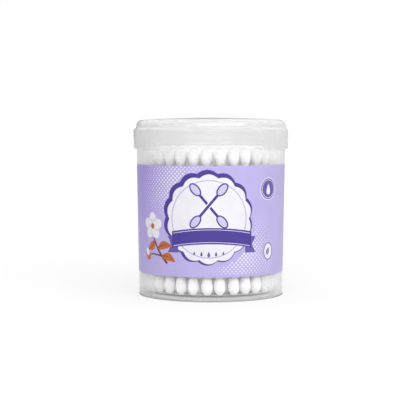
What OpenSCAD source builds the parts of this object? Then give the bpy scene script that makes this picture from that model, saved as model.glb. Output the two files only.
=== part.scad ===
// Round tub of cotton swabs with a press-on lid and a wrap-around label.
// Millimetres. The tub stands on z = 0 with its axis on Z, and its front faces -Y.

/* [Tub] */
// Outer radius of the wall, carried down to the ground
tub_r = 36.85; // [35.5:0.05:42]
// Draft of the moulded wall, in degrees
tub_draft = 1; // [0.5:0.1:1.5]
// Thickness of the wall
tub_wall = 0.9; // [0.7:0.05:1.2]
// Rounding of the heel, where the wall meets the foot
heel_r = 1.2; // [0.8:0.1:1.6]
// Width of the flat foot ring that meets the ground
foot_w = 1; // [0.8:0.1:1.4]
// Height of the hollow under the raised floor
foot_hollow = 1.9; // [1.4:0.1:2.6]
// How far the hollow's side slopes inwards on its way up
hollow_slope = 0.4; // [0.2:0.05:0.6]
// Thickness of the floor
floor_t = 1.1; // [0.8:0.05:1.6]
// Rounding inside, between the floor and the wall
floor_fillet = 1.2; // [0.8:0.1:1.6]
// Height of the rim above the swabs
swab_headroom = 7.8; // [4:0.1:12]
// Rounding of the two edges of the rim
rim_round = 0.25; // [0.15:0.05:0.3]
// Radius of the gate marks, under the floor and on the lid
gate_r = 1.6; // [1:0.1:2.5]
// Height of the mark under the floor and depth of the one on the lid
gate_h = 0.4; // [0.2:0.05:0.6]

/* [Snap] */
// How far the tub's bead stands out of its wall
bead_out = 0.23; // [0.15:0.01:0.35]
// Height of either bead
bead_h = 1.6; // [1.2:0.1:2]
// Depth of the tub's bead below the rim, to its middle
bead_drop = 3.5; // [2.5:0.1:4]
// How far the lid's bead stands in from its skirt
lid_bead_in = 0.19; // [0.12:0.01:0.3]
// Gap between the two beads as they pass
snap_clear = 0.06; // [0.04:0.01:0.1]
// Gap in height between the two beads when the lid is on
bead_gap = 0.3; // [0.2:0.05:0.6]

/* [Lid] */
// Thickness of the lid's walls
lid_wall = 1; // [0.8:0.05:1.2]
// Thickness of the lid's domed top
top_t = 1.1; // [0.8:0.05:1.4]
// Height of the top of the lid's dome above the tub's rim
lid_rise = 6.8; // [6.4:0.1:9]
// Depth of the skirt below the rim
skirt_h = 9.1; // [8:0.1:12]
// Step in radius from the skirt in to the upper wall
lid_step = 1.3; // [1.05:0.05:1.4]
// Height above the rim at which the shoulder starts to slope
shoulder_low = 0.7; // [0.4:0.05:0.9]
// Height of the sloping shoulder
shoulder_h = 1; // [0.8:0.1:1.6]
// Rounding between the upper wall and the dome
crown_round = 3.2; // [2:0.1:3.6]
// Rise of the dome from its rounded edge to its middle
dome_rise = 1.1; // [0.4:0.05:1.4]
// Chamfer on the skirt's lower edge
skirt_chamfer = 0.35; // [0.2:0.05:0.4]

/* [Label] */
// Height of the label's lower edge above the ground
label_z = 12.2; // [8:0.1:16]
// Distance from the label's upper edge up to the lid's skirt
label_top_gap = 7.8; // [4:0.1:12]
// Thickness of the label film
label_t = 0.12; // [0.08:0.01:0.2]
// Width of the glued overlap at the back
label_overlap = 6; // [4:0.5:12]

/* [Swabs] */
// Length of a swab from end to end
swab_len = 73; // [65:0.5:85]
// Diameter of the stick
stick_d = 2.5; // [2:0.1:2.8]
// Largest diameter of a cotton tip
tip_d = 5.8; // [5:0.1:6]
// Half height of the bud's oval on its free side, from its widest place
bud_end = 4.1; // [3.6:0.1:4.6]
// Half height of the bud's oval on its stick's side, from its widest place
bud_back = 6.4; // [5.4:0.1:7]
// Diameter at which the bud runs into its neck
neck_d = 3.4; // [3.1:0.1:3.8]
// Length of a cotton tip with its neck
tip_len = 12.5; // [11:0.5:16]
// Cotton beyond the end of the stick
tip_cover = 1.5; // [1:0.1:2.2]
// Thickness of the cotton where it runs out on the stick
tip_edge = 0.12; // [0.08:0.02:0.16]
// Radius of the flattened end that a swab stands on
tip_flat_r = 1.2; // [0.4:0.1:1.5]

/* [Swab rings] */
// Gap between the outer ring's tips and the wall
wall_gap = 0.3; // [0.1:0.05:0.5]
// Least gap between neighbouring tips along the outer ring
outer_gap = 0.7; // [0.3:0.05:1.5]
// Least gap between neighbouring tips along an inner ring
inner_gap = 0.19; // [0.1:0.01:0.6]
// Distance from each ring of swabs in to the next
ring_pitch = 6.4; // [6.2:0.05:6.5]
// Share of the room beside it that a swab strays by
swab_stray = 0.3; // [0:0.05:0.4]
// Turn of the outer ring's first swab from the front, in degrees
front_turn = -3.4; // [-6:0.1:6]
// Turn added from each ring to the next, in degrees
ring_turn = 4.7; // [0:0.1:12]

/* [Hidden] */
$fn = 96;

// Heights that follow from the swabs standing on the floor
floor_z = foot_hollow + floor_t;
rim_z = floor_z + swab_len + swab_headroom;
skirt_z = rim_z - skirt_h;
dome_z = rim_z + lid_rise;
label_top = skirt_z - label_top_gap;

// Outer radius of the tub's drafted wall at height z
function wall_r(z) = tub_r + z * tan(tub_draft);

// Outer edge of the foot ring, where the heel's rounding meets the ground
foot_r = wall_r(heel_r) - heel_r / cos(tub_draft);

// Radii of the lid, from the tub's wall outwards
bead_z = rim_z - bead_drop;
lid_bead_z = bead_z - bead_h - bead_gap;
skirt_in_r = wall_r(bead_z) + bead_out + snap_clear + lid_bead_in;
skirt_r = skirt_in_r + lid_wall;
upper_r = skirt_r - lid_step;
upper_in_r = upper_r - lid_wall;
crown_x = upper_r - crown_round;
dome_turn = 2 * atan(dome_rise / crown_x);
dome_r = crown_x / sin(dome_turn);

// Cotton tip: the angles on the bud's oval where its flattened end and its neck lie
tip_r = tip_d / 2;
stick_r = stick_d / 2;
end_angle = -acos(tip_flat_r / tip_r);
neck_angle = acos(neck_d / tip_d);
belly_z = -bud_end * sin(end_angle);
neck_z = belly_z + bud_back * sin(neck_angle);

// Rings of swabs from the wall in, round one at the centre
rings = 5;
outer_ring_r = wall_r(floor_z + belly_z) - tub_wall - wall_gap - tip_r;
inward_stray = swab_stray * (ring_pitch - tip_d);
front = -90;
scatter_turn = 137.5;

// Points of an arc of radius r round [x, y], from angle a to angle b, in n steps
function arc(x, y, r, a, b, n) =
    [for (i = [0:n]) [x + r * cos(a + (b - a) * i / n), y + r * sin(a + (b - a) * i / n)]];

// Radius of ring k, where ring 0 lies along the wall
function ring_r(k) = k == rings ? 0 : outer_ring_r - k * ring_pitch;

// Swabs that fit along ring k, each as far in as it strays, or the one at the centre
function ring_count(k) =
    k == rings ? 1 :
    floor(180 / asin((tip_d + (k == 0 ? outer_gap : inner_gap)) / (2 * (ring_r(k) - inward_stray))));

// How far a swab of ring k strays to either side
function side_stray(k) =
    k == rings ? 0 :
    swab_stray * (2 * (ring_r(k) - inward_stray) * sin(180 / ring_count(k)) - tip_d);

// A number from -1 to 1 that differs from swab to swab; part 0 is for its foot, 1 its head, 2 its radius
function scatter(k, i, part) = sin(scatter_turn * (i + 1) + 61 * k + 97 * part);

// Half outline of a cotton tip: a flattened end, an egg-shaped bud, and a neck that thins out on the stick
function tip_outline() = concat(
    [[0, 0]],
    [for (i = [0:4]) let (a = end_angle * (1 - i / 4)) [tip_r * cos(a), belly_z + bud_end * sin(a)]],
    [for (i = [1:5]) let (a = neck_angle * i / 5) [tip_r * cos(a), belly_z + bud_back * sin(a)]],
    [for (i = [1:4]) [
        stick_r + tip_edge + (neck_d / 2 - stick_r - tip_edge) * pow(1 - i / 4, 2),
        neck_z + (tip_len - neck_z) * i / 4
    ]],
    [[stick_r, tip_len], [stick_r, tip_cover], [0, tip_cover]]
);

// Half outline of the tub, from the floor's underside outwards and back down inside
function tub_outline() =
    let (in_x = wall_r(floor_z + floor_fillet) - tub_wall - floor_fillet)
    concat(
        [[0, foot_hollow], [foot_r - foot_w - hollow_slope, foot_hollow], [foot_r - foot_w, 0]],
        arc(foot_r, heel_r, heel_r, -90, -tub_draft, 8),
        [for (i = [0:6]) [
            wall_r(bead_z + bead_h * (i / 6 - 0.5)) + bead_out * sin(180 * i / 6),
            bead_z + bead_h * (i / 6 - 0.5)
        ]],
        arc(wall_r(rim_z) - rim_round, rim_z - rim_round, rim_round, 0, 90, 3),
        arc(wall_r(rim_z) - tub_wall + rim_round, rim_z - rim_round, rim_round, 90, 180, 3),
        arc(in_x, floor_z + floor_fillet, floor_fillet, 0, -90, 5),
        [[0, floor_z]]
    );

// Half outline of the lid, from the middle of its top outwards and back up inside
function lid_outline() =
    let (
        crown_z = dome_z - dome_rise - crown_round,
        crown_in_r = crown_round - lid_wall,
        shoulder_z = rim_z + shoulder_low
    )
    concat(
        arc(0, dome_z - dome_r, dome_r, 90, 90 - dome_turn, 6),
        arc(crown_x, crown_z, crown_round, 75, 0, 5),
        [[upper_r, shoulder_z + shoulder_h], [skirt_r, shoulder_z]],
        [[skirt_r, skirt_z + skirt_chamfer], [skirt_r - skirt_chamfer, skirt_z]],
        [[skirt_in_r + skirt_chamfer, skirt_z], [skirt_in_r, skirt_z + skirt_chamfer]],
        [for (i = [0:6]) [
            skirt_in_r - lid_bead_in * sin(180 * i / 6),
            lid_bead_z + bead_h * (i / 6 - 0.5)
        ]],
        [[skirt_in_r, rim_z], [upper_in_r, rim_z]],
        arc(crown_x, crown_z + lid_wall - top_t, crown_in_r, 0, 75, 4),
        arc(0, dome_z - top_t - dome_r, dome_r, 90 - dome_turn, 90, 6)
    );

// Section of the film between two of its layers, longer by some amount at both edges
module film_section(from, to, longer = 0) {
    low = label_z - longer;
    high = label_top + longer;
    polygon([
        [wall_r(low) + from * label_t, low], [wall_r(low) + to * label_t, low],
        [wall_r(high) + to * label_t, high], [wall_r(high) + from * label_t, high]
    ]);
}

// Moulded clear cup with a raised floor, a foot ring and a snap bead under its rim
module tub() {
    color([0.87, 0.88, 0.88, 0.4]) {
        rotate_extrude() polygon(tub_outline());
        translate([0, 0, foot_hollow - gate_h]) cylinder(r = gate_r, h = gate_h + floor_t / 2);
    }
}

// Moulded milky cap: shallow dome with its gate mark, upper wall, shoulder that sits on the rim, and skirt
module lid() {
    color([0.91, 0.91, 0.92, 0.75]) difference() {
        rotate_extrude() polygon(lid_outline());
        translate([0, 0, dome_z - gate_h]) cylinder(r = gate_r, h = 2 * gate_h);
    }
}

// Printed film round the wall, two layers thick only where its glued overlap is, at the back
module label() {
    overlap_turn = label_overlap / wall_r(label_z) * 180 / PI;
    color([0.80, 0.76, 0.95]) difference() {
        rotate_extrude() film_section(0, 2);
        rotate([0, 0, -front + overlap_turn / 2])
            rotate_extrude(angle = 360 - overlap_turn) film_section(1, 3, 1);
    }
}

// A child at every place of ring k, where each swab stands a little aside and leans a little
module along_ring(k) {
    count = ring_count(k);
    for (i = [0:count - 1]) {
        foot_shift = side_stray(k) * scatter(k, i, 0);
        head_shift = side_stray(k) * scatter(k, i, 1);
        lean = asin((head_shift - foot_shift) / swab_len);
        swab_r = k == rings ? 0 : ring_r(k) - inward_stray * (1 + scatter(k, i, 2)) / 2;
        rotate([0, 0, front + front_turn + k * ring_turn + 360 * i / count])
            translate([swab_r, foot_shift, floor_z + tip_flat_r * abs(sin(lean))])
                rotate([-lean, 0, 0]) children();
    }
}

// Rolled paper sticks of ring k
module sticks(k) {
    color([0.96, 0.96, 0.95]) along_ring(k)
        translate([0, 0, tip_cover]) cylinder(d = stick_d, h = swab_len - 2 * tip_cover);
}

// Cotton tips that stand on the floor, in ring k
module lower_tips(k) {
    color([0.98, 0.98, 0.98]) along_ring(k)
        rotate_extrude($fn = 48) polygon(tip_outline());
}

// Cotton tips under the lid, in ring k
module upper_tips(k) {
    color([0.98, 0.98, 0.98]) along_ring(k)
        translate([0, 0, swab_len]) mirror([0, 0, 1]) rotate_extrude($fn = 48) polygon(tip_outline());
}

tub();
lid();
label();
sticks(0);  // ring_1_sticks
upper_tips(0);  // ring_1_upper_tips
lower_tips(0);  // ring_1_lower_tips
sticks(1);  // ring_2_sticks
upper_tips(1);  // ring_2_upper_tips
lower_tips(1);  // ring_2_lower_tips
sticks(2);  // ring_3_sticks
upper_tips(2);  // ring_3_upper_tips
lower_tips(2);  // ring_3_lower_tips
sticks(3);  // ring_4_sticks
upper_tips(3);  // ring_4_upper_tips
lower_tips(3);  // ring_4_lower_tips
sticks(4);  // ring_5_sticks
upper_tips(4);  // ring_5_upper_tips
lower_tips(4);  // ring_5_lower_tips
sticks(5);  // centre_stick
upper_tips(5);  // centre_upper_tip
lower_tips(5);  // centre_lower_tip
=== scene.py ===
import math

import bpy
import numpy as np
from bpy.props import FloatProperty, FloatVectorProperty, IntProperty, PointerProperty
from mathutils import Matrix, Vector, geometry, noise


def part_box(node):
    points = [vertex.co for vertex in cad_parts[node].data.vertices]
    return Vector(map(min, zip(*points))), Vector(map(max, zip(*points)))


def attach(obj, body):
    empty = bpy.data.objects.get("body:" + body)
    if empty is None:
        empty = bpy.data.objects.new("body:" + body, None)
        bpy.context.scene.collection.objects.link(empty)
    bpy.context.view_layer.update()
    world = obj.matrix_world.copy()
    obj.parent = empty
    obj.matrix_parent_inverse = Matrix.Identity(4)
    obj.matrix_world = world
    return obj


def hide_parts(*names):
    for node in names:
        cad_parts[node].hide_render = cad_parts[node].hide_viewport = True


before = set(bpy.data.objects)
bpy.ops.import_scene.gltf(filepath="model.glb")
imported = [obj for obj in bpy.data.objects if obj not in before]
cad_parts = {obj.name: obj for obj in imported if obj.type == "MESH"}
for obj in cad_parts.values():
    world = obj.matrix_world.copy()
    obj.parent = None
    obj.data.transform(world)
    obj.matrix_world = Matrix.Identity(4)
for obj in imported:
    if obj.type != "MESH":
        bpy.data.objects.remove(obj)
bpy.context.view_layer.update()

bl_info = {
    "name": "Cotton Swab Tub",
    "version": (1, 0, 0),
    "blender": (4, 5, 0),
    "location": "3D View > Sidebar > Swab Tub",
    "description": "Finishes a tub of cotton swabs: its plastics, label, cotton tips, sticks and studio",
    "category": "Object",
}

MM = 0.001
# Coordinates closer than this are the same
SAME = 0.01 * MM
RINGS = sum(name.startswith("ring_") and name.endswith("_sticks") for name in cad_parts)
# Sockets of Blender's colour mix node: the two colours and the result
MIX_A, MIX_B, MIX_RESULT = 6, 7, 2


def linear(hex_colour):
    """Turns an sRGB hex colour such as D8CFF7 into linear red, green and blue."""
    shares = [int(hex_colour[i:i + 2], 16) / 255 for i in (0, 2, 4)]
    return tuple(c / 12.92 if c <= 0.04045 else ((c + 0.055) / 1.055) ** 2.4 for c in shares)


def colour_setting(name, hex_colour, description):
    """A colour that a user may change."""
    return FloatVectorProperty(name=name, description=description, subtype="COLOR", size=3, min=0, max=1,
                               default=linear(hex_colour))


def length_setting(name, millimetres, description):
    """A length that a user may change."""
    return FloatProperty(name=name, description=description, unit="LENGTH", min=0, precision=5,
                         default=millimetres * MM)


def share_setting(name, share, description):
    """A share between none and all that a user may change."""
    return FloatProperty(name=name, description=description, subtype="FACTOR", min=0, max=1, default=share)


def angle_setting(name, degrees, description):
    """An angle that a user may change."""
    return FloatProperty(name=name, description=description, subtype="ANGLE", default=math.radians(degrees))


def strength_setting(name, strength, description):
    """A brightness that a user may change, where 1 is white."""
    return FloatProperty(name=name, description=description, min=0, default=strength)


def power_setting(name, watts, description):
    """A lamp's power that a user may change."""
    return FloatProperty(name=name, description=description, unit="POWER", min=0, default=watts)


class PlasticSettings(bpy.types.PropertyGroup):
    """How clear, milky and smooth the tub and its lid are."""

    wall_colour: colour_setting("Wall Colour", "EEEEEF", "Body colour of the clear plastic")
    wall_haze: share_setting("Wall Haze", 0.045, "Share of light that the wall scatters, seen square on")
    wall_edge_haze: share_setting("Wall Edge Haze", 0.8, "The same share where it turns away from the eye")
    wall_glow: share_setting("Wall Glow", 0.45, "Share of the wall's scattered light that comes from behind")
    wall_roughness: share_setting("Wall Roughness", 0.12, "Roughness of the wall's gloss")
    lid_colour: colour_setting("Lid Colour", "E8E8E8", "Body colour of the milky plastic")
    lid_haze: share_setting("Lid Haze", 0.2, "Share of light that the lid scatters, seen square on")
    lid_edge_haze: share_setting("Lid Edge Haze", 0.95, "The same share where it turns away from the eye")
    lid_glow: share_setting("Lid Glow", 0.7, "Share of the lid's scattered light that comes from behind")
    lid_roughness: share_setting("Lid Roughness", 0.16, "Roughness of the lid's gloss")


class LabelSettings(bpy.types.PropertyGroup):
    """Inks and print sizes of the label."""

    ground: colour_setting("Ground", "B8ADDF", "Lavender ink that covers the film")
    pale: colour_setting("Pale Ink", "C9C1E4", "Pale lavender ink of the lines and petal edges")
    white: colour_setting("White Ink", "E6E4EA", "White ink of the panels and dots")
    deep: colour_setting("Deep Ink", "412F90", "Deep violet ink of the ribbon and outlines")
    violet: colour_setting("Violet Ink", "5F519F", "Violet ink of the badge")
    rust: colour_setting("Rust Ink", "B8652A", "Rust ink of the leaves")
    brown: colour_setting("Brown Ink", "602A0E", "Brown ink of the stems and veins")
    # Deeper Ink and Deepening give the violet that the lavender runs to at its upper left: partly a printed
    # gradient, mostly painted shade
    deeper: colour_setting("Deeper Ink", "7943CC", "Violet that the lavender runs to at its upper left")
    print_and_shade_deepening: share_setting("Deepening", 0.4, "Share of the deeper ink at the upper left")
    film_glow: share_setting("Film Glow", 0.15, "Share of light that comes through the thin film from behind")
    dot_pitch: length_setting("Dot Pitch", 1.5, "Distance between the halftone dots")
    panel_radius: length_setting("Panel Radius", 20.5, "Radius of the scalloped panel on the front")
    column_turn: FloatProperty(name="Column Turn", description="Angle between the film's columns of faces",
                               subtype="ANGLE", min=0.01, max=0.2, default=math.radians(2.5))


class CottonSettings(bpy.types.PropertyGroup):
    """How the cotton tips and sticks look."""

    colour: colour_setting("Cotton", "FEFEFE", "Bleached cotton")
    stick_colour: colour_setting("Stick", "FBFBF8", "White rolled paper")
    lump: length_setting("Lump", 0.07, "Depth of the soft lumps in the wound cotton")
    crease: length_setting("Crease", 0.04, "Depth of the creases between turns of fibre")
    rows: IntProperty(name="Rows", description="Rows of faces along a tip of the outermost ring", min=12,
                      max=60, default=40)


class StudioSettings(bpy.types.PropertyGroup):
    """Camera, floor and lights."""

    distance: length_setting("Camera Distance", 640, "Distance from the camera to the tub's axis")
    height: length_setting("Camera Height", 83.5, "Height of the camera above the floor")
    pitch: angle_setting("Pitch", 3.16, "How far the camera looks down")
    yaw: angle_setting("Yaw", 0.5, "How far the camera looks to the left of the axis")
    view_angle: angle_setting("View Angle", 18.33, "Angle across the picture")
    key_width: length_setting("Key Width", 1600, "Width of the lamp at the right")
    lamp_height: length_setting("Lamp Height", 800, "Height of both lamps, and width of the upper one")
    key_power: power_setting("Key Power", 9.2, "Power of the wide lamp at the right")
    top_power: power_setting("Top Power", 0.6, "Power of the lamp above the tub")
    room: strength_setting("Room", 0.64, "Brightness of the white room at the tub's height")
    ceiling: strength_setting("Ceiling", 1.16, "Brightness of the white cloth overhead")
    dark_side: strength_setting("Dark Side", 0.22, "Brightness of the dark cloth at the left of the room")


def add_node(material, kind, inputs=None, **settings):
    """Adds a node; inputs maps its sockets to values, or to the outputs that feed them."""
    new = material.node_tree.nodes.new(kind)
    for name, value in settings.items():
        setattr(new, name, value)
    for socket, value in (inputs or {}).items():
        if isinstance(value, bpy.types.NodeSocket):
            material.node_tree.links.new(value, new.inputs[socket])
        else:
            new.inputs[socket].default_value = value
    return new


def new_material(name, shader_of):
    """Makes a material whose surface is the shader output that shader_of(material) returns."""
    material = bpy.data.materials.new(name)
    material.use_nodes = True
    material.node_tree.nodes.clear()
    add_node(material, "ShaderNodeOutputMaterial", {"Surface": shader_of(material)})
    return material


def in_grains(material, grain_mm, stretch=(1, 1, 1)):
    """The object's own coordinates in grains of a real size, which are stretched along its axes."""
    place = add_node(material, "ShaderNodeTexCoord").outputs["Object"]
    scale = tuple(1 / (grain_mm * MM * s) for s in stretch)
    return add_node(material, "ShaderNodeMapping", {"Vector": place, "Scale": scale}).outputs["Vector"]


def lit_through(material, skin, colour, surface, share):
    """Blends a share of light that comes through from behind into a shader."""
    through = add_node(material, "ShaderNodeBsdfTranslucent", {"Color": colour, "Normal": surface})
    return add_node(material, "ShaderNodeMixShader", {0: share, 1: skin, 2: through.outputs[0]}).outputs[0]


def moulded_polypropylene(name, colour, haze, edge_haze, glow, roughness):
    """Moulded polypropylene: light goes through it, a milky haze thickens where the wall turns away, and a
    soft gloss lies over a faint orange peel that the mould leaves."""

    def shader(material):
        # The peel is 3 mm apart and 0.008 mm deep, and the flow clouds of the melt are 14 mm apart
        peel = add_node(material, "ShaderNodeTexNoise", {"Vector": in_grains(material, 3.0), "Scale": 1.0,
                        "Detail": 2.0, "Roughness": 0.5}).outputs["Fac"]
        cloud = add_node(material, "ShaderNodeTexNoise", {"Vector": in_grains(material, 14.0, (1, 1, 2.5)),
                         "Scale": 1.0, "Detail": 3.0, "Roughness": 0.55}).outputs["Fac"]
        surface = add_node(material, "ShaderNodeBump", {"Height": peel, "Distance": 0.008 * MM,
                           "Strength": 0.5}).outputs["Normal"]
        turned = add_node(material, "ShaderNodeLayerWeight", {"Blend": 0.5}).outputs["Facing"]
        thick = add_node(material, "ShaderNodeMapRange", {"Value": turned, "From Min": 0.12,
                         "From Max": 0.85, "To Min": haze, "To Max": edge_haze},
                         interpolation_type="SMOOTHSTEP").outputs["Result"]
        # The clouds make the haze up to 15 percent thinner or thicker
        uneven = add_node(material, "ShaderNodeMapRange", {"Value": cloud, "From Min": 0.3, "From Max": 0.7,
                          "To Min": 0.85, "To Max": 1.15}, interpolation_type="SMOOTHSTEP").outputs["Result"]
        share = add_node(material, "ShaderNodeMath", {0: thick, 1: uneven}, operation="MULTIPLY",
                         use_clamp=True).outputs[0]
        body = add_node(material, "ShaderNodeBsdfDiffuse", {"Color": (*colour, 1), "Normal": surface})
        milk = lit_through(material, body.outputs[0], (*colour, 1), surface, glow)
        clear = add_node(material, "ShaderNodeBsdfTransparent", {"Color": (0.996, 0.995, 0.995, 1)})
        wall = add_node(material, "ShaderNodeMixShader", {0: share, 1: clear.outputs[0], 2: milk})
        smooth = add_node(material, "ShaderNodeMapRange", {"Value": cloud, "From Min": 0.3, "From Max": 0.7,
                          "To Min": roughness * 0.85, "To Max": roughness * 1.2},
                          interpolation_type="SMOOTHSTEP").outputs["Result"]
        gloss = add_node(material, "ShaderNodeBsdfGlossy", {"Color": (1, 1, 1, 1), "Normal": surface,
                         "Roughness": smooth})
        # A face mirrors 4 percent square on and all at a glancing angle, from inside the wall as from outside
        glance = add_node(material, "ShaderNodeMath", {0: turned, 1: 5.0}, operation="POWER").outputs[0]
        skin = add_node(material, "ShaderNodeMapRange", {"Value": glance, "To Min": 0.04,
                        "To Max": 1.0}).outputs["Result"]
        return add_node(material, "ShaderNodeMixShader", {0: skin, 1: wall.outputs[0],
                        2: gloss.outputs[0]}).outputs[0]

    return new_material(name, shader)


def printed_film(name, colour, glow, deeper=None, print_and_shade_deepening=0.0):
    """Thin polypropylene film printed by offset and varnished: even ink with a slight cloud under a satin
    varnish, with some light going through. The colour may run to a deeper one towards its upper left,
    partly a printed gradient and mostly painted shade."""

    def shader(material):
        # Ink lies unevenly over 9 mm, 4.5 percent darker where it is thick, and the film has a 0.4 mm grain
        cloud = add_node(material, "ShaderNodeTexNoise", {"Vector": in_grains(material, 9.0), "Scale": 1.0,
                         "Detail": 2.0}).outputs["Fac"]
        grain = add_node(material, "ShaderNodeTexNoise", {"Vector": in_grains(material, 0.4), "Scale": 1.0,
                         "Detail": 1.0}).outputs["Fac"]
        thin_ink = add_node(material, "ShaderNodeMapRange", {"Value": cloud, "From Min": 0.35,
                            "From Max": 0.65}, interpolation_type="SMOOTHSTEP").outputs["Result"]
        shade = tuple(c * 0.955 for c in colour)
        base = add_node(material, "ShaderNodeMix", {0: thin_ink, MIX_A: (*shade, 1), MIX_B: (*colour, 1)},
                        data_type="RGBA").outputs[MIX_RESULT]
        if deeper:
            # The deeper colour, partly a printed gradient and mostly painted shade, comes in where the way
            # left of the axis and 0.3 of the height add up to 30 to 57 mm
            place = add_node(material, "ShaderNodeTexCoord").outputs["Object"]
            up_left = add_node(material, "ShaderNodeVectorMath", {0: place, 1: (-1, 0, 0.3)},
                               operation="DOT_PRODUCT").outputs["Value"]
            share = add_node(material, "ShaderNodeMapRange", {"Value": up_left, "From Min": 30 * MM,
                             "From Max": 57 * MM, "To Max": print_and_shade_deepening},
                             interpolation_type="SMOOTHSTEP").outputs["Result"]
            base = add_node(material, "ShaderNodeMix", {0: share, MIX_A: base, MIX_B: (*deeper, 1)},
                            data_type="RGBA").outputs[MIX_RESULT]
        surface = add_node(material, "ShaderNodeBump", {"Height": grain, "Distance": 0.004 * MM,
                           "Strength": 0.4}).outputs["Normal"]
        satin = add_node(material, "ShaderNodeMapRange", {"Value": cloud, "To Min": 0.34, "To Max": 0.42},
                         interpolation_type="SMOOTHSTEP").outputs["Result"]
        film = add_node(material, "ShaderNodeBsdfPrincipled", {
            "Base Color": base, "Roughness": satin, "IOR": 1.49, "Normal": surface,
            "Coat Weight": 0.25, "Coat Roughness": 0.22,
        })
        return lit_through(material, film.outputs[0], base, surface, glow)

    return new_material(name, shader)


def wound_cotton(name, colour):
    """Bleached cotton wound round the stick: matt white fibre with fine strands and a soft sheen at its
    edge."""

    def shader(material):
        # Strands lie 0.35 mm apart along the winding, and tufts are 1.6 mm apart with painted shade in the
        # hollows between them
        strands = add_node(material, "ShaderNodeTexNoise", {"Vector": in_grains(material, 0.35, (1, 1, 3.5)),
                           "Scale": 1.0, "Detail": 3.0, "Roughness": 0.65, "Distortion": 0.6}).outputs["Fac"]
        tufts = add_node(material, "ShaderNodeTexNoise", {"Vector": in_grains(material, 1.6), "Scale": 1.0,
                         "Detail": 2.0}).outputs["Fac"]
        out_of_painted_shade = add_node(material, "ShaderNodeMapRange", {"Value": tufts, "From Min": 0.3,
                           "From Max": 0.62}, interpolation_type="SMOOTHSTEP").outputs["Result"]
        # Painted shade: the hollows between tufts are 7 percent darker
        shade = tuple(c * 0.93 for c in colour)
        base = add_node(material, "ShaderNodeMix", {0: out_of_painted_shade, MIX_A: (*shade, 1), MIX_B: (*colour, 1)},
                        data_type="RGBA").outputs[MIX_RESULT]
        matt = add_node(material, "ShaderNodeMapRange", {"Value": strands, "To Min": 0.85, "To Max": 1.0},
                        interpolation_type="SMOOTHSTEP").outputs["Result"]
        surface = add_node(material, "ShaderNodeBump", {"Height": strands, "Distance": 0.05 * MM,
                           "Strength": 0.55}).outputs["Normal"]
        return add_node(material, "ShaderNodeBsdfPrincipled", {
            "Base Color": base, "Roughness": matt, "Specular IOR Level": 0.15, "Normal": surface,
            "Sheen Weight": 0.25, "Sheen Roughness": 0.5, "Sheen Tint": (1, 1, 1, 1),
        }).outputs[0]

    return new_material(name, shader)


def rolled_paper(name, colour):
    """White paper rolled into a stick: matt, with long grain and the slanting edge of the roll showing."""

    def shader(material):
        # Grain runs along the stick 0.25 mm apart, and the roll's darker edge comes round every 6 mm
        grain = add_node(material, "ShaderNodeTexNoise", {"Vector": in_grains(material, 0.25, (1, 1, 9)),
                         "Scale": 1.0, "Detail": 2.0}).outputs["Fac"]
        place = add_node(material, "ShaderNodeTexCoord").outputs["Object"]
        tilt = add_node(material, "ShaderNodeMapping", {"Vector": place, "Rotation": (0, math.radians(35), 0),
                        "Scale": (1 / (6 * MM),) * 3})
        # A wave of this scale comes round once in each unit
        edge = add_node(material, "ShaderNodeTexWave", {"Vector": tilt.outputs["Vector"], "Scale": 0.31},
                        wave_type="BANDS", bands_direction="Z", wave_profile="SAW").outputs["Fac"]
        line = add_node(material, "ShaderNodeMapRange", {"Value": edge, "From Max": 0.12},
                        interpolation_type="SMOOTHSTEP").outputs["Result"]
        shade = tuple(c * 0.86 for c in colour)
        base = add_node(material, "ShaderNodeMix", {0: line, MIX_A: (*shade, 1), MIX_B: (*colour, 1)},
                        data_type="RGBA").outputs[MIX_RESULT]
        relief = add_node(material, "ShaderNodeMath", {0: grain, 1: line}, operation="ADD").outputs[0]
        surface = add_node(material, "ShaderNodeBump", {"Height": relief, "Distance": 0.02 * MM,
                           "Strength": 0.5}).outputs["Normal"]
        matt = add_node(material, "ShaderNodeMapRange", {"Value": grain, "To Min": 0.6, "To Max": 0.8},
                        interpolation_type="SMOOTHSTEP").outputs["Result"]
        return add_node(material, "ShaderNodeBsdfPrincipled", {
            "Base Color": base, "Roughness": matt, "IOR": 1.5, "Normal": surface,
        }).outputs[0]

    return new_material(name, shader)


def give_material(obj, material):
    """Finishes a plain node all over with one material."""
    obj.data.materials.clear()
    obj.data.materials.append(material)


def corner_points(mesh):
    """Corner points of a mesh, one row each."""
    points = np.empty(len(mesh.vertices) * 3)
    mesh.vertices.foreach_get("co", points)
    return points.reshape(-1, 3)


def separate_shapes(mesh):
    """Splits a mesh into its loose shapes and gives the corner points of each."""
    points = corner_points(mesh)
    spots, shape_of = np.unique(np.round(points / SAME).astype(int), axis=0, return_inverse=True)
    shape_of = shape_of.reshape(-1)
    ends = np.empty(len(mesh.edges) * 2, int)
    mesh.edges.foreach_get("vertices", ends)
    ends = shape_of[ends].reshape(-1, 2)
    # Corners that an edge joins share the lower of their two marks, until no mark changes any more
    label = np.arange(len(spots))
    while True:
        least = np.minimum(label[ends[:, 0]], label[ends[:, 1]])
        lower = label.copy()
        np.minimum.at(lower, ends[:, 0], least)
        np.minimum.at(lower, ends[:, 1], least)
        lower = lower[lower]
        if (lower == label).all():
            break
        label = lower
    marks = label[shape_of]
    return [points[marks == mark] for mark in np.unique(marks)]


def axis_of(points):
    """Middle and upward axis of a round, nearly upright shape, from the centres of its two ends."""
    height = points[:, 2]
    near = 0.3 * MM
    bottom = points[height < height.min() + near]
    top = points[height > height.max() - near]
    low = (bottom.min(0) + bottom.max(0)) / 2
    high = (top.min(0) + top.max(0)) / 2
    return (low + high) / 2, (high - low) / np.linalg.norm(high - low)


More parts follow.
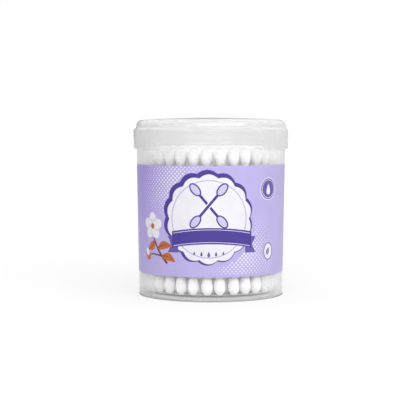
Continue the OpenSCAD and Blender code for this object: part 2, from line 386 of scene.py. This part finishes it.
def tip_outline(points, middle, axis, upper, stations):
    """Height of a tip's free end along its axis, its length, and its radius at stations from that end, each
    given as a share of the length."""
    along = (points - middle) @ axis
    from_axis = np.linalg.norm(points - middle - np.outer(along, axis), axis=1)
    free_end = along.max() if upper else along.min()
    depth = np.abs(along - free_end)
    reach = depth.max()
    bore = from_axis[depth > reach - SAME].min()
    # The bore ends deeper than this, so all points nearer to the free end are skin
    end_skin = 1.2 * MM
    on_skin = (from_axis > bore + 0.05 * MM) | (depth < end_skin)
    order = np.argsort(depth[on_skin])
    radius = np.interp(stations * reach, depth[on_skin][order], from_axis[on_skin][order])
    return free_end, reach, radius


class Winding:
    """Corner points and faces of the cotton tips at one end of a ring."""

    def __init__(self, rows, around, lump, crease):
        self.rows = rows
        self.around = around
        self.lump = lump
        self.crease = crease
        self.points = []
        self.faces = []

    def add_tip(self, shape, upper, seed):
        """Winds one tip on the axis and outline of its plain solid, and never stands proud of it."""
        lump_pitch, crease_pitch = 1.7 * MM, 0.9 * MM
        crowding = 1.35
        middle, axis = axis_of(shape)
        # Stations crowd together at the free end, where the outline turns fastest
        stations = np.linspace(0, 1, self.rows) ** crowding
        free_end, reach, radius = tip_outline(shape, middle, axis, upper, stations)
        side = np.cross(axis, (1.0, 0.0, 0.0))
        side /= np.linalg.norm(side)
        other = np.cross(axis, side)
        turn = np.linspace(0, 2 * math.pi, self.around, endpoint=False)
        along = free_end + (-1 if upper else 1) * stations * reach
        # The relief fades out at the neck, which stays tight on the stick, and is weaker at the free end
        fade = np.clip((1 - stations) * 4, 0, 1) * np.clip(stations * 14 + 0.35, 0, 1)
        ring = np.cos(turn)[:, None] * side + np.sin(turn)[:, None] * other
        first = len(self.points)
        for row in range(self.rows):
            depth = stations[row] * reach
            for column in range(self.around):
                place = middle + along[row] * axis + radius[row] * ring[column]
                # Each seed looks at its own place in the noise, so that no two tips are alike
                spot = Vector(place) / lump_pitch + Vector((seed * 5.3, seed * 1.7, 0))
                lump = 0.5 + 0.5 * noise.noise(spot)
                # The creases run round the tip as a loose double thread
                sway = 1.5 * noise.noise(spot * 0.6)
                wind = depth / crease_pitch + turn[column] / math.pi + sway
                crease = (0.5 + 0.5 * math.sin(2 * math.pi * wind)) ** 3
                inward = fade[row] * (self.lump * lump + self.crease * crease)
                self.points.append(place - ring[column] * min(inward, 0.5 * radius[row]))
        for row in range(self.rows - 1):
            for column in range(self.around):
                a = first + row * self.around + column
                b = first + row * self.around + (column + 1) % self.around
                quad = (a, b, b + self.around, a + self.around)
                self.faces.append(quad if upper else quad[::-1])
        for row, outward in ((0, upper), (self.rows - 1, not upper)):
            loop = [first + row * self.around + column for column in range(self.around)]
            self.faces.append(tuple(loop[::-1] if outward else loop))

    def mesh(self, name):
        """Mesh of all the tips wound so far."""
        mesh = bpy.data.meshes.new(name)
        mesh.from_pydata([tuple(p) for p in self.points], [], self.faces)
        mesh.shade_smooth()
        mesh.update()
        return mesh


def oval(centre, width, height=None, sides=40, turn=0.0):
    """Outline of an ellipse of that width and height."""
    height = width if height is None else height
    points = []
    for i in range(sides):
        angle = 2 * math.pi * i / sides
        u, v = width / 2 * math.cos(angle), height / 2 * math.sin(angle)
        points.append((centre[0] + u * math.cos(turn) - v * math.sin(turn),
                       centre[1] + u * math.sin(turn) + v * math.cos(turn)))
    return points


def scalloped(centre, radius, lobes, depth, sides=8):
    """Outline of a round panel with outward lobes."""
    points = []
    for i in range(lobes * sides):
        angle = 2 * math.pi * i / (lobes * sides)
        reach = radius + depth * abs(math.sin(lobes * angle / 2))
        points.append((centre[0] + reach * math.cos(angle), centre[1] + reach * math.sin(angle)))
    return points


def stroke(path, width, taper=1.0):
    """Outline of a line along a path, whose width falls to the taper share at its end."""
    left, right = [], []
    last = len(path) - 1
    for i, (u, v) in enumerate(path):
        before, after = path[max(i - 1, 0)], path[min(i + 1, last)]
        run = math.hypot(after[0] - before[0], after[1] - before[1])
        across = (-(after[1] - before[1]) / run, (after[0] - before[0]) / run)
        half = width / 2 * (1 + (taper - 1) * i / last)
        left.append((u + across[0] * half, v + across[1] * half))
        right.append((u - across[0] * half, v - across[1] * half))
    return left + right[::-1]


def leaf(base, length, width, turn, bend=0.12, steps=12):
    """Outline of a pointed leaf that grows from its base, and the path of its middle vein."""
    vein = []
    for i in range(steps + 1):
        s = i / steps
        along, aside = s * length, bend * length * math.sin(math.pi * s)
        vein.append((base[0] + along * math.cos(turn) - aside * math.sin(turn),
                     base[1] + along * math.sin(turn) + aside * math.cos(turn)))
    across = (-math.sin(turn), math.cos(turn))
    left, right = [], []
    for i in range(1, steps):
        half = width / 2 * math.sin(math.pi * (i / steps) ** 0.8)
        left.append((vein[i][0] + across[0] * half, vein[i][1] + across[1] * half))
        right.append((vein[i][0] - across[0] * half, vein[i][1] - across[1] * half))
    return [vein[0]] + right + [vein[-1]] + left[::-1], vein[1:-1]


def arch(centre, width, height, rise, steps=16):
    """Outline of a band that arches upwards in its middle."""
    top, bottom = [], []
    for i in range(steps + 1):
        s = 2 * i / steps - 1
        u, v = centre[0] + s * width / 2, centre[1] + rise * (1 - s * s)
        top.append((u, v + height / 2))
        bottom.append((u, v - height / 2))
    return bottom + top[::-1]


def drop(centre, size, sides=20):
    """Outline of a water drop with its point upwards."""
    points = []
    for i in range(sides):
        angle = 2 * math.pi * i / sides
        pinch = math.sin(angle / 2) ** 1.5
        points.append((centre[0] + size * 0.36 * math.sin(angle) * pinch,
                       centre[1] + size * 0.5 * math.cos(angle)))
    return points[::-1]


class Film:
    """The label's film as its plain solid has it: heights, radii, thickness and overlap, in millimetres."""

    def __init__(self, mesh):
        points = corner_points(mesh) / MM
        radius = np.hypot(points[:, 0], points[:, 1])
        turn = np.arctan2(points[:, 0], -points[:, 1])
        self.low, self.high = points[:, 2].min(), points[:, 2].max()
        at_low = points[:, 2] < self.low + SAME / MM
        at_high = points[:, 2] > self.high - SAME / MM
        front = np.abs(turn) < math.radians(90)
        self.low_radius, self.high_radius = radius[at_low].min(), radius[at_high].min()
        self.thickness = radius[at_low & front].max() - radius[at_low & front].min()
        doubled = at_low & (radius > self.low_radius + 1.5 * self.thickness)
        self.overlap_turn = 2 * (math.pi - np.abs(turn[doubled]).min())
        self.radius = (self.low_radius + self.high_radius) / 2
        self.half = self.radius * (math.pi + self.overlap_turn / 2)
        self.lap_start = self.radius * (math.pi - self.overlap_turn / 2)

    def place(self, flat, inner):
        """Corner points on the wall of flat points, which run round from the front and up from the floor."""
        # The film climbs over its own end in this run, and its inner face stands this clear of the wall
        lap_slope, backing = 1.2, 0.015
        u, v = flat[:, 0], flat[:, 1]
        layer = np.clip((u - self.lap_start + lap_slope) / lap_slope, 0, 1)
        flare = (self.high_radius - self.low_radius) / (self.high - self.low)
        bare = self.low_radius + flare * (v - self.low)
        radius = bare + layer * self.thickness + (backing if inner else self.thickness)
        turn = u / self.radius
        return np.stack((radius * np.sin(turn), -radius * np.cos(turn), v), axis=1) * MM


class Print:
    """The label's artwork: outlines in millimetres, each with an ink, and later ones over earlier ones."""

    def __init__(self, film):
        self.film = film
        self.shapes = []
        self.keep_clear = []

    def ink(self, name, *outlines):
        """Adds outlines in an ink, each turned to run anticlockwise."""
        for outline in outlines:
            following = outline[1:] + outline[:1]
            turn = sum(u1 * v2 - u2 * v1 for (u1, v1), (u2, v2) in zip(outline, following))
            self.shapes.append((name, outline if turn > 0 else outline[::-1]))


def halftone(art, centre, reach, pitch):
    """White dots that shrink with the distance from a centre, on a slanting grid and on bare ground alone."""
    biggest, least, edge_gap = 1.15, 0.22, 0.2
    film = art.film
    step = pitch * 0.5 * math.sqrt(2)
    margin = biggest / 2 + edge_gap
    rows = int(reach / step) + 1
    for row in range(-rows, rows + 1):
        for column in range(-rows, rows + 1):
            if (row + column) % 2:
                continue
            u, v = centre[0] + column * step, centre[1] + row * step
            away = math.hypot(u - centre[0], v - centre[1]) / reach
            size = biggest * (1 - away) ** 0.7 if away < 1 else 0
            if size < least or not film.low + margin < v < film.high - margin:
                continue
            if any(math.hypot(u - su, v - sv) < radius + size / 2 for su, sv, radius in art.keep_clear):
                continue
            art.ink("white", oval((u, v), size, sides=8))


def swab_emblem(art, centre, length, lean):
    """Two crossed swabs, drawn as plain outlines."""
    stick, halo, line = 1.3, 0.5, 0.7
    bud_length, bud_width = 7.6, 4.6
    for side in (-1, 1):
        away = (side * math.sin(lean) * length / 2, math.cos(lean) * length / 2)
        low = (centre[0] - away[0], centre[1] - away[1])
        high = (centre[0] + away[0], centre[1] + away[1])
        turn = math.atan2(away[1], away[0])
        art.ink("white", stroke([low, high], stick + 2 * halo))
        art.ink("deep", stroke([low, high], stick))
        for end in (low, high):
            art.ink("deep", oval(end, bud_length, bud_width, 28, turn))
            art.ink("pale", oval(end, bud_length - 2 * line, bud_width - 2 * line, 24, turn))


def flower_sprig(art, centre, size):
    """A five-petalled flower on a brown stem with rust leaves, all in proportion to one size."""
    stem = []
    for s in (0, 0.2, 0.4, 0.6, 0.8, 1):
        stem.append((centre[0] + 1.5 * size * s * s, centre[1] - 2.75 * size * s))
    bud = (stem[3][0] - 1.15 * size, stem[3][1] - 0.55 * size)
    side_stem = [stem[4], (stem[4][0] - 0.75 * size, stem[4][1] + 0.1 * size), bud]
    art.ink("brown", stroke(side_stem, 0.8, 0.7), stroke(stem, 0.9, 1.3))
    for base, length, turn in ((stem[2], 1.15, 218), (stem[3], 1.5, 8), (stem[4], 1.35, -18)):
        outline, vein = leaf(base, length * size, 0.62 * size, math.radians(turn))
        art.ink("rust", outline)
        art.ink("brown", stroke(vein, 0.4, 0.4))
    art.ink("rust", oval(bud, 0.62 * size, 0.85 * size, 20, math.radians(20)))
    art.ink("white", oval((bud[0] - 0.08 * size, bud[1] + 0.22 * size), 0.42 * size, 0.6 * size, 18,
                          math.radians(20)))
    for petal in range(5):
        turn = math.radians(90 + 72 * petal)
        spot = (centre[0] + 0.52 * size * math.cos(turn), centre[1] + 0.52 * size * math.sin(turn))
        art.ink("pale", oval(spot, 1.12 * size, 0.9 * size, 28, turn))
        art.ink("white", oval(spot, 0.98 * size, 0.76 * size, 28, turn))
    art.ink("rust", oval(centre, 0.42 * size, sides=18))


def drop_badge(art, centre, size):
    """A round violet badge with a white line and a white drop."""
    for name, grown in (("white", 0.9), ("violet", 0.0), ("white", -1.2), ("violet", -1.8)):
        art.ink(name, oval(centre, size + grown))
    art.ink("white", drop(centre, size * 0.55))


def leaf_badge(art, centre, width, height):
    """A small white oval with a violet line and one leaf."""
    line = 0.4
    art.ink("deep", oval(centre, width, height))
    art.ink("white", oval(centre, width - 2 * line, height - 2 * line))
    outline, vein = leaf((centre[0] - 0.9, centre[1] - 2.0), 4.4, 2.2, math.radians(68), 0.05)
    art.ink("violet", outline)
    art.ink("white", stroke(vein, 0.3, 0.5))


def blank_ribbon(art, centre, width, height, rise):
    """A deep violet ribbon with nothing on it, forked tails and two thin pale lines."""
    tail, tucked, fork, lower, line = 6.0, 3.4, 2.2, 2.4, 0.35
    middle = centre[1] - lower
    for side in (-1, 1):
        inner = centre[0] + side * (width / 2 - tucked)
        outer = centre[0] + side * (width / 2 + tail - tucked)
        points = [(inner, middle - height / 2), (outer, middle - height / 2), (outer - side * fork, middle),
                  (outer, middle + height / 2), (inner, middle + height / 2)]
        art.ink("violet", points if side > 0 else points[::-1])
    art.ink("deep", arch(centre, width, height, rise))
    for shift in (-1, 1):
        art.ink("pale", arch((centre[0], centre[1] + shift * (height / 2 - 0.9)), width - 1.6, line, rise))


def front_print(art, settings):
    """Front: a scalloped panel with crossed swabs over a blank ribbon, a flower at the left, two badges at
    the right, and dots in two corners."""
    middle = (art.film.low + art.film.high) / 2
    radius = settings.panel_radius / MM
    pitch = settings.dot_pitch / MM
    panel, lobes, lobe_depth, border = (-1.0, middle + 1.2), 14, 1.5, 1.5
    inset, line = 1.3, 0.5
    flower, flower_size = (-33.0, middle - 3.0), 6.6
    round_badge, round_size = (32.0, middle + 15.6), 10.4
    oval_badge, oval_width, oval_height = (32.5, middle - 15.5), 6.6, 8.6
    # Each circle that the dots keep clear of: its middle and its radius
    art.keep_clear = [(*panel, radius + 3.2), (*flower, 8.6), (flower[0] + 3, flower[1] - 11.5, 10.5),
                      (*round_badge, 6.6), (*oval_badge, 4.6)]
    halftone(art, (panel[0] - 17, middle + 17), reach=26, pitch=pitch)
    halftone(art, (panel[0] + 18, middle - 16), reach=24, pitch=pitch)
    art.ink("deep", scalloped((panel[0] - 0.7, panel[1] + 0.8), radius + border, lobes, lobe_depth))
    art.ink("white", scalloped(panel, radius, lobes, lobe_depth))
    art.ink("ground", oval(panel, 2 * (radius - inset), sides=72))
    art.ink("white", oval(panel, 2 * (radius - inset - line), sides=72))
    swab_emblem(art, (panel[0], panel[1] + 6.6), length=20.5, lean=math.radians(40))
    blank_ribbon(art, (panel[0] + 1.5, panel[1] - 10.2), width=41.0, height=8.0, rise=2.0)
    # Five drops in a shallow arch under the ribbon, the largest in the middle
    drop_pitch, middle_drop = 3.6, 2.9
    for step in (-2, -1, 0, 1, 2):
        size = middle_drop - 0.5 * abs(step)
        art.ink("violet", drop((panel[0] + drop_pitch * step, panel[1] - 17.2 + 0.3 * abs(step)), size))
    flower_sprig(art, flower, flower_size)
    drop_badge(art, round_badge, round_size)
    leaf_badge(art, oval_badge, oval_width, oval_height)


def rounded_panel(centre, width, height, corner, steps=6):
    """Outline of a rectangle with round corners."""
    points = []
    for quarter, (su, sv) in enumerate(((1, 1), (-1, 1), (-1, -1), (1, -1))):
        for i in range(steps + 1):
            angle = math.pi / 2 * (quarter + i / steps)
            points.append((centre[0] + su * (width / 2 - corner) + corner * math.cos(angle),
                           centre[1] + sv * (height / 2 - corner) + corner * math.sin(angle)))
    return points


def back_print(art, settings):
    """Back: a bare white panel and dots beside it, as room for particulars that this tub leaves out."""
    middle = (art.film.low + art.film.high) / 2
    panel, width, height, corner, line = (84.0, middle), 36.0, 40.0, 3.0, 0.5
    badge, badge_radius, lobes, lobe_depth = (-84.0, middle), 7.6, 10, 0.9
    art.keep_clear = [(*badge, 9.0)]
    art.ink("deep", rounded_panel(panel, width, height, corner))
    art.ink("white", rounded_panel(panel, width - 2 * line, height - 2 * line, corner - line))
    halftone(art, badge, reach=25, pitch=settings.dot_pitch / MM)
    art.ink("deep", scalloped(badge, badge_radius, lobes, lobe_depth))
    art.ink("white", scalloped(badge, badge_radius - 0.8, lobes, lobe_depth))
    art.ink("violet", drop(badge, 7.4))
    # The film's outer end is cut through the print, so a bare edge shows along the seam
    bare_edge = 0.4
    edge = art.film.half - bare_edge
    art.ink("white", [(edge, art.film.low), (art.film.half, art.film.low), (art.film.half, art.film.high),
                      (edge, art.film.high)])


def printed_mesh(art, inks, column_turn):
    """Cuts the film's flat face along every outline and column, wraps it round the wall on both sides and
    closes its edges. Each face takes the last ink over it."""
    film = art.film
    columns = 2 * math.ceil(film.half / film.radius / column_turn)
    across = np.linspace(-film.half, film.half, columns + 1)
    spots = [Vector((u, film.low)) for u in across] + [Vector((u, film.high)) for u in across]
    edges = [(i, i + columns + 1) for i in range(columns + 1)]
    sheet = list(range(columns + 1)) + list(range(2 * columns + 1, columns, -1))
    outlines = [sheet]
    for _, outline in art.shapes:
        outlines.append(list(range(len(spots), len(spots) + len(outline))))
        spots.extend(Vector(p) for p in outline)
    names = ["ground"] + [name for name, _ in art.shapes]
    flat, _, faces, _, _, covers = geometry.delaunay_2d_cdt(spots, edges, outlines, 1, 1e-5, True)
    flat = np.array(flat)
    corners = len(flat)
    points = np.concatenate((film.place(flat, False), film.place(flat, True)))
    triangles = np.array(faces)
    sides = np.concatenate([triangles[:, [i, (i + 1) % 3]] for i in range(3)])
    seen = {tuple(side) for side in sides.tolist()}
    rim = [(a, b) for a, b in seen if (b, a) not in seen]
    quads = [(b, a, a + corners, b + corners) for a, b in rim]
    back = (triangles[:, ::-1] + corners).tolist()
    mesh = bpy.data.meshes.new("label_film")
    mesh.from_pydata(points.tolist(), [], triangles.tolist() + back + quads)
    for material in inks.values():
        mesh.materials.append(material)
    order = list(inks)
    index = [order.index(names[max(cover)]) for cover in covers]
    index += [order.index("backing")] * (len(back) + len(quads))
    mesh.polygons.foreach_set("material_index", index)
    mesh.update()
    slope = math.atan((film.high_radius - film.low_radius) / (film.high - film.low))
    outward = np.stack((np.sin(flat[:, 0] / film.radius) * math.cos(slope),
                        -np.cos(flat[:, 0] / film.radius) * math.cos(slope),
                        np.full(corners, -math.sin(slope))), axis=1)
    of_corner = np.concatenate((outward, -outward))
    loops = np.empty(len(mesh.loops), int)
    mesh.loops.foreach_get("vertex_index", loops)
    normals = of_corner[loops]
    for polygon in mesh.polygons[len(faces) + len(back):]:
        normals[polygon.loop_start:polygon.loop_start + 4] = polygon.normal
    mesh.normals_split_custom_set(normals.tolist())
    return mesh


def add_piece(name, mesh, body, slot, *nodes):
    """Puts a piece in place of plain nodes and on their body. The slot is not used."""
    piece = bpy.data.objects.new(name, mesh)
    bpy.context.scene.collection.objects.link(piece)
    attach(piece, body)
    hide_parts(*nodes)
    return piece


class SWABTUB_OT_finish_tub(bpy.types.Operator):
    """Give the tub its clear moulded plastic"""

    bl_idname = "swabtub.finish_tub"
    bl_label = "Finish Tub"

    def execute(self, context):
        settings = context.scene.swabtub_plastic
        clear = moulded_polypropylene("clear_moulded_polypropylene", tuple(settings.wall_colour),
                                      settings.wall_haze, settings.wall_edge_haze, settings.wall_glow,
                                      settings.wall_roughness)
        give_material(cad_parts["tub"], clear)
        return {"FINISHED"}


class SWABTUB_OT_finish_lid(bpy.types.Operator):
    """Give the lid its milky moulded plastic"""

    bl_idname = "swabtub.finish_lid"
    bl_label = "Finish Lid"

    def execute(self, context):
        settings = context.scene.swabtub_plastic
        milky = moulded_polypropylene("milky_moulded_polypropylene", tuple(settings.lid_colour),
                                      settings.lid_haze, settings.lid_edge_haze, settings.lid_glow,
                                      settings.lid_roughness)
        give_material(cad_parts["lid"], milky)
        return {"FINISHED"}


class SWABTUB_OT_print_label(bpy.types.Operator):
    """Print the label and wrap it round the tub"""

    bl_idname = "swabtub.print_label"
    bl_label = "Print Label"

    def execute(self, context):
        settings = context.scene.swabtub_label
        art = Print(Film(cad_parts["label"].data))
        front_print(art, settings)
        back_print(art, settings)
        inks = {"ground": printed_film("ground_printed_film", tuple(settings.ground), settings.film_glow,
                                       tuple(settings.deeper), settings.print_and_shade_deepening)}
        for name in ("pale", "white", "deep", "violet", "rust", "brown"):
            inks[name] = printed_film(f"{name}_printed_film", tuple(getattr(settings, name)),
                                      settings.film_glow)
        inks["backing"] = printed_film("bare_film_backing", tuple(settings.white), settings.film_glow)
        mesh = printed_mesh(art, inks, settings.column_turn)
        add_piece("printed_label", mesh, "tub", "label_film", "label")
        return {"FINISHED"}


class SWABTUB_OT_wind_cotton(bpy.types.Operator):
    """Wind the cotton tips on every stick"""

    bl_idname = "swabtub.wind_cotton"
    bl_label = "Wind Cotton"

    def execute(self, context):
        settings = context.scene.swabtub_cotton
        cotton = wound_cotton("wound_cotton", tuple(settings.colour))
        groups = [(f"ring_{ring}", f"ring_{ring}_{end}_tips", end, ring) for ring in range(1, RINGS + 1)
                  for end in ("upper", "lower")]
        groups += [("centre", f"centre_{end}_tip", end, RINGS + 1) for end in ("upper", "lower")]
        for group, node, end, ring in groups:
            # The rings behind the first show little, so they have fewer faces
            rows = settings.rows if ring == 1 else max(12, settings.rows * 2 // 3)
            around = 32 if ring == 1 else 20
            first_seed = 31 * ring + (7 if end == "upper" else 0)
            winding = Winding(rows, around, settings.lump, settings.crease)
            for seed, shape in enumerate(separate_shapes(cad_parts[node].data), first_seed):
                winding.add_tip(shape, end == "upper", seed)
            mesh = winding.mesh(f"{group}_{end}_cotton")
            mesh.materials.append(cotton)
            add_piece(f"{group}_{end}_cotton", mesh, "tub", "cotton", node)
        return {"FINISHED"}


class SWABTUB_OT_roll_sticks(bpy.types.Operator):
    """Give the sticks their rolled paper"""

    bl_idname = "swabtub.roll_sticks"
    bl_label = "Roll Sticks"

    def execute(self, context):
        paper = rolled_paper("white_rolled_paper", tuple(context.scene.swabtub_cotton.stick_colour))
        for name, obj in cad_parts.items():
            if name.endswith(("_sticks", "_stick")):
                give_material(obj, paper)
        return {"FINISHED"}


class SWABTUB_OT_set_stage(bpy.types.Operator):
    """Put the tub on a pale floor in soft light, in front of the camera"""

    bl_idname = "swabtub.set_stage"
    bl_label = "Set Stage"

    def execute(self, context):
        settings = context.scene.swabtub_studio
        context.scene.view_settings.view_transform = "Standard"
        # Light passes many thin faces of plastic and goes back and forth between the white tips
        context.scene.cycles.transparent_max_bounces = 32
        context.scene.cycles.max_bounces = 32
        context.scene.cycles.diffuse_bounces = 24
        add_floor()
        light_room(context.scene, settings.room, settings.dark_side, settings.ceiling)
        key_place = (0.25, -0.85, 0.68)
        top_place = (-0.1, 0.45, 0.9)
        add_lamp("key_lamp", key_place, settings.key_width, settings.lamp_height, settings.key_power)
        add_lamp("top_lamp", top_place, settings.lamp_height, settings.lamp_height, settings.top_power)
        add_camera(context.scene, settings)
        return {"FINISHED"}


def add_floor():
    """A matt white floor that looks bright of itself, so that shadows on it stay pale, and lights the tub
    less."""
    reach = 12.0

    def shader(material):
        grain = add_node(material, "ShaderNodeTexNoise", {"Vector": in_grains(material, 4.0), "Scale": 1.0,
                         "Detail": 2.0}).outputs["Fac"]
        surface = add_node(material, "ShaderNodeBump", {"Height": grain, "Distance": 0.01 * MM,
                           "Strength": 0.1}).outputs["Normal"]
        matt = add_node(material, "ShaderNodeBsdfDiffuse", {"Color": (*linear("8F8F8F"), 1),
                        "Normal": surface})
        place = add_node(material, "ShaderNodeTexCoord").outputs["Object"]
        away = add_node(material, "ShaderNodeVectorMath", {0: place}, operation="LENGTH").outputs["Value"]
        # The glow is weak under the tub and weakest under its heel, a painted shadow there, and full outside,
        # and far away it makes up for the lamps. Each step has the radii where it starts and ends and the
        # strengths before and after
        heel_start, heel_end = 30.5 * MM, 33 * MM
        steps = ((heel_start, heel_end, 0.48, 0.1), (36.6 * MM, 37.6 * MM, 0, 0.515),
                 (120 * MM, 800 * MM, 0, 0.12))
        strength = 0.0
        for start, end, before, after in steps:
            step = add_node(material, "ShaderNodeMapRange", {"Value": away, "From Min": start,
                            "From Max": end, "To Min": before, "To Max": after},
                            interpolation_type="SMOOTHSTEP").outputs["Result"]
            strength = add_node(material, "ShaderNodeMath", {0: strength, 1: step},
                                operation="ADD").outputs[0]
        glow = add_node(material, "ShaderNodeEmission", {"Color": (1, 1, 1, 1), "Strength": strength})
        seen = add_node(material, "ShaderNodeAddShader", {0: matt.outputs[0], 1: glow.outputs[0]})
        dull = add_node(material, "ShaderNodeBsdfDiffuse", {"Color": (*linear("D0D0D0"), 1),
                        "Normal": surface})
        # The plastic mirrors the glow under the tub alone, so that the wall's edges stay grey
        path = add_node(material, "ShaderNodeLightPath").outputs
        under = add_node(material, "ShaderNodeMapRange", {"Value": away, "From Min": heel_start,
                         "From Max": heel_end, "To Min": 1, "To Max": 0},
                         interpolation_type="SMOOTHSTEP").outputs["Result"]
        mirrored = add_node(material, "ShaderNodeMath", {0: path["Is Glossy Ray"], 1: under},
                            operation="MULTIPLY").outputs[0]
        bright = add_node(material, "ShaderNodeMath", {0: path["Is Camera Ray"], 1: mirrored},
                          operation="MAXIMUM").outputs[0]
        return add_node(material, "ShaderNodeMixShader", {0: bright, 1: dull.outputs[0],
                        2: seen.outputs[0]}).outputs[0]

    mesh = bpy.data.meshes.new("floor")
    corners = [(-reach, -reach, 0), (reach, -reach, 0), (reach, reach, 0), (-reach, reach, 0)]
    mesh.from_pydata(corners, [], [(0, 1, 2, 3)])
    mesh.materials.append(new_material("white_studio_floor", shader))
    floor = bpy.data.objects.new("floor", mesh)
    bpy.context.scene.collection.objects.link(floor)


def light_room(scene, bright, dark, ceiling):
    """A tent of white cloth that looks white, with a dark cloth at its left and more light from overhead."""
    world = bpy.data.worlds.new("white_room")
    world.use_nodes = True
    world.node_tree.nodes.clear()
    straight = add_node(world, "ShaderNodeLightPath").outputs["Is Camera Ray"]
    seen = add_node(world, "ShaderNodeBackground", {"Color": (1, 1, 1, 1), "Strength": 1.0})
    direction = add_node(world, "ShaderNodeTexCoord").outputs["Generated"]
    # The dark cloth hangs at the left and a little behind the tub, and fades out 53 to 84 degrees from there
    cloth_side = (-0.94, 0.34, 0)
    to_cloth = add_node(world, "ShaderNodeVectorMath", {0: direction, 1: cloth_side},
                        operation="DOT_PRODUCT").outputs["Value"]
    walls = add_node(world, "ShaderNodeMapRange", {"Value": to_cloth, "From Min": 0.1, "From Max": 0.6,
                     "To Min": bright, "To Max": dark}, interpolation_type="SMOOTHSTEP").outputs["Result"]
    # The cloth overhead comes in between 7 and 27 degrees up
    upward = add_node(world, "ShaderNodeSeparateXYZ", {0: direction}).outputs["Z"]
    overhead = add_node(world, "ShaderNodeMapRange", {"Value": upward, "From Min": 0.12, "From Max": 0.45},
                        interpolation_type="SMOOTHSTEP").outputs["Result"]
    light = add_node(world, "ShaderNodeMix", {0: overhead, 2: walls, 3: ceiling},
                     data_type="FLOAT").outputs[0]
    felt = add_node(world, "ShaderNodeBackground", {"Color": (1, 1, 1, 1), "Strength": light})
    mix = add_node(world, "ShaderNodeMixShader", {0: straight, 1: felt.outputs[0], 2: seen.outputs[0]})
    add_node(world, "ShaderNodeOutputWorld", {"Surface": mix.outputs[0]})
    scene.world = world


def add_lamp(name, place, width, height, power):
    """A soft box that faces the tub's middle."""
    data = bpy.data.lights.new(name, "AREA")
    data.shape = "RECTANGLE"
    data.size = width
    data.size_y = height
    data.energy = power
    lamp = bpy.data.objects.new(name, data)
    lamp.location = place
    aim = Vector((0, 0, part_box("tub")[1].z / 2)) - lamp.location
    lamp.rotation_euler = aim.to_track_quat("-Z", "Y").to_euler()
    bpy.context.scene.collection.objects.link(lamp)


def add_camera(scene, settings):
    """A camera in front of the tub that looks a little down on it."""
    data = bpy.data.cameras.new("camera")
    data.angle = settings.view_angle
    data.clip_end = 50
    camera = bpy.data.objects.new("camera", data)
    camera.location = (0, -settings.distance, settings.height)
    camera.rotation_euler = (math.pi / 2 - settings.pitch, 0, settings.yaw)
    scene.collection.objects.link(camera)
    scene.camera = camera


OPERATORS = (
    SWABTUB_OT_finish_tub,
    SWABTUB_OT_finish_lid,
    SWABTUB_OT_print_label,
    SWABTUB_OT_wind_cotton,
    SWABTUB_OT_roll_sticks,
    SWABTUB_OT_set_stage,
)


class SWABTUB_PT_panel(bpy.types.Panel):
    """Lists the steps that finish the swab tub"""

    bl_idname = "SWABTUB_PT_panel"
    bl_label = "Swab Tub"
    bl_space_type = "VIEW_3D"
    bl_region_type = "UI"
    bl_category = "Swab Tub"

    def draw(self, context):
        for operator in OPERATORS:
            self.layout.operator(operator.bl_idname)
        for name, group in SETTINGS.items():
            box = self.layout.box()
            for setting in group.__annotations__:
                box.prop(getattr(context.scene, name), setting)


SETTINGS = {
    "swabtub_plastic": PlasticSettings,
    "swabtub_label": LabelSettings,
    "swabtub_cotton": CottonSettings,
    "swabtub_studio": StudioSettings,
}


def register():
    """Makes the settings, steps and panel known to Blender."""
    for cls in (*SETTINGS.values(), *OPERATORS, SWABTUB_PT_panel):
        bpy.utils.register_class(cls)
    for name, group in SETTINGS.items():
        setattr(bpy.types.Scene, name, PointerProperty(type=group))


def unregister():
    """Takes them out again."""
    for name in SETTINGS:
        delattr(bpy.types.Scene, name)
    for cls in (SWABTUB_PT_panel, *reversed(OPERATORS), *reversed(SETTINGS.values())):
        bpy.utils.unregister_class(cls)


def main():
    """Finishes the tub."""
    register()
    bpy.ops.swabtub.finish_tub()
    bpy.ops.swabtub.finish_lid()
    bpy.ops.swabtub.print_label()
    bpy.ops.swabtub.wind_cotton()
    bpy.ops.swabtub.roll_sticks()
    bpy.ops.swabtub.set_stage()


if __name__ == "__main__":
    main()
